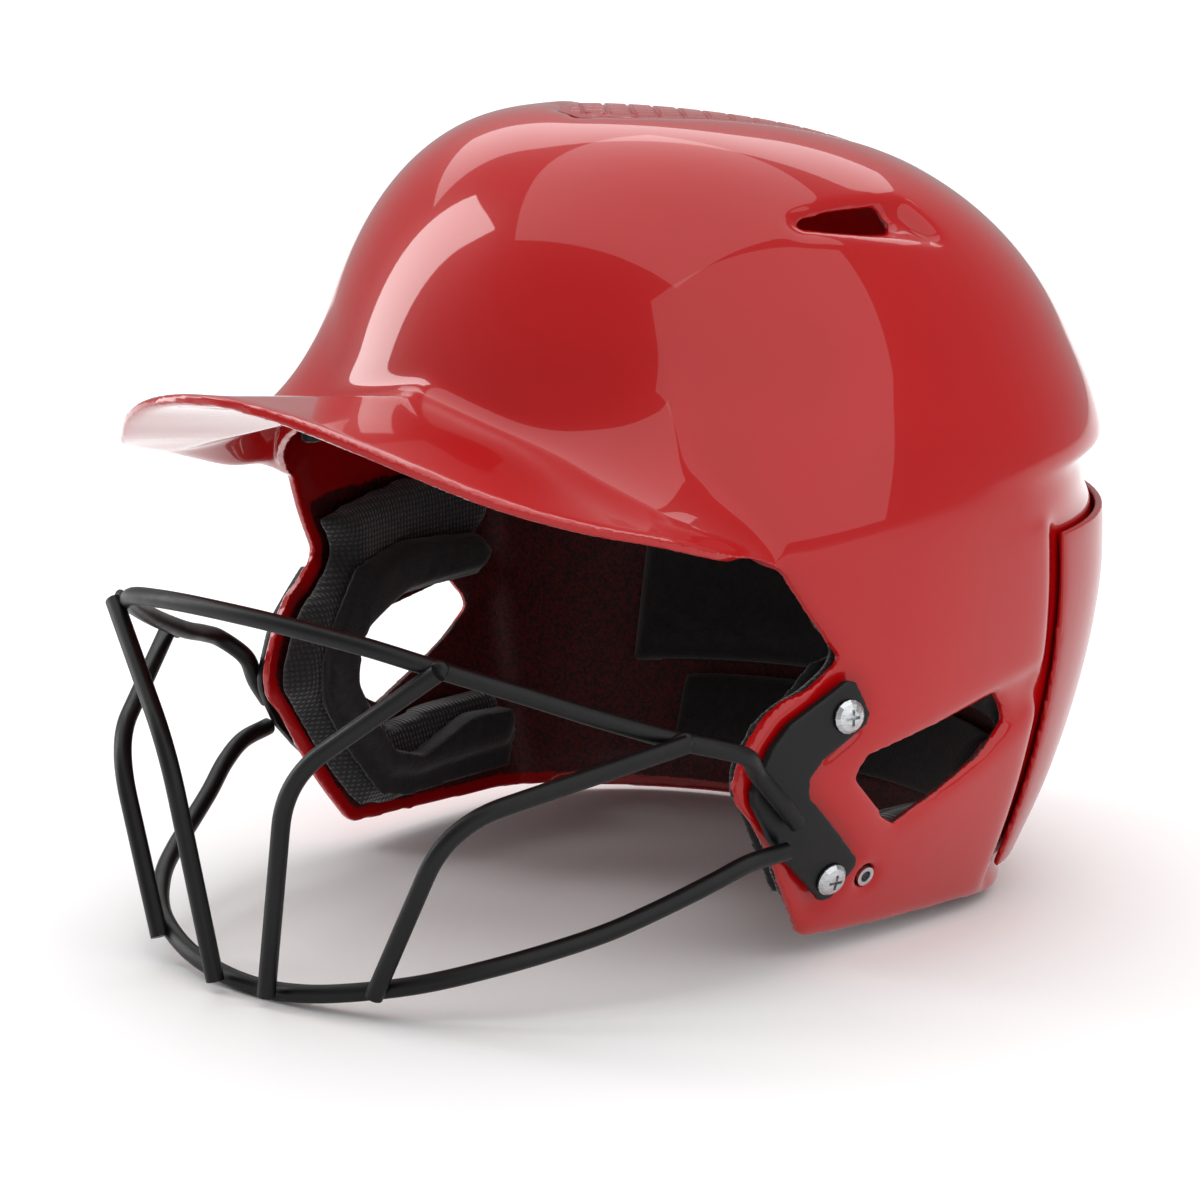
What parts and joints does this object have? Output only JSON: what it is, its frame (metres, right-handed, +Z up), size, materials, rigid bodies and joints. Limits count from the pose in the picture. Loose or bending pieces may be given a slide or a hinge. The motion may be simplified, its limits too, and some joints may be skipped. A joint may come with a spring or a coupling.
{
  "type": "batting helmet",
  "caption": "Hard-shell batting helmet with brim, ear flaps, inner padding and a bolted wire face guard.",
  "frame": {"origin": "middle of the object's footprint on the floor", "axes": "+X forward out of the face opening, +Y towards the wearer's left, +Z up, as it stands on a table on its nape edge and the guard's jaw bar"},
  "size_m": [0.3085, 0.2216, 0.2252],
  "materials": {
    "gloss_red": "high-gloss moulded shell",
    "satin_red": "moulded trim",
    "guard_black": "black powder-coated steel wire and plate",
    "pad_fabric": "knit fabric over foam",
    "pad_foam": "covered foam",
    "screw_steel": "bright steel"
  },
  "bodies": {
    "helmet": {"shell": "gloss_red", "rear_cover": "satin_red", "crown_panel": "satin_red", "mask_plate_left": "guard_black", "mask_plate_right": "guard_black", "accessory_insert_left": "screw_steel", "accessory_insert_right": "screw_steel", "eye_bar": "guard_black", "jaw_bar": "guard_black", "inner_bar_left": "guard_black", "inner_bar_right": "guard_black", "outer_bar_left": "guard_black", "outer_bar_right": "guard_black", "ear_pad_left": "pad_fabric", "ear_pad_right": "pad_fabric", "ear_cushion_left": "pad_fabric", "ear_cushion_right": "pad_fabric", "forehead_pad": "pad_fabric", "crown_pad": "pad_foam", "side_pad_left": "pad_foam", "side_pad_right": "pad_foam", "rear_pad": "pad_fabric", "nape_pad": "pad_fabric", "upper_nut_left": "screw_steel", "upper_nut_right": "screw_steel", "lower_nut_left": "screw_steel", "lower_nut_right": "screw_steel"},
    "upper_screw_left": {"upper_screw_left": "screw_steel"},
    "upper_screw_right": {"upper_screw_right": "screw_steel"},
    "lower_screw_left": {"lower_screw_left": "screw_steel"},
    "lower_screw_right": {"lower_screw_right": "screw_steel"}
  },
  "joints": [
    {"name": "upper_screw_left_turn", "type": "hinge", "parent": "helmet", "child": "upper_screw_left", "pos_m": [0.01955, 0.10315, 0.073], "axis": [0.2666, 0.9638, -0.0066], "continuous": true},
    {"name": "upper_screw_right_turn", "type": "hinge", "parent": "helmet", "child": "upper_screw_right", "pos_m": [0.01955, -0.10315, 0.073], "axis": [0.2666, -0.9638, -0.0066], "continuous": true},
    {"name": "lower_screw_left_turn", "type": "hinge", "parent": "helmet", "child": "lower_screw_left", "pos_m": [0.01805, 0.09595, 0.0265], "axis": [0.1611, 0.9438, -0.2885], "continuous": true},
    {"name": "lower_screw_right_turn", "type": "hinge", "parent": "helmet", "child": "lower_screw_right", "pos_m": [0.01805, -0.09595, 0.0265], "axis": [0.1611, -0.9438, -0.2885], "continuous": true}
  ]
}
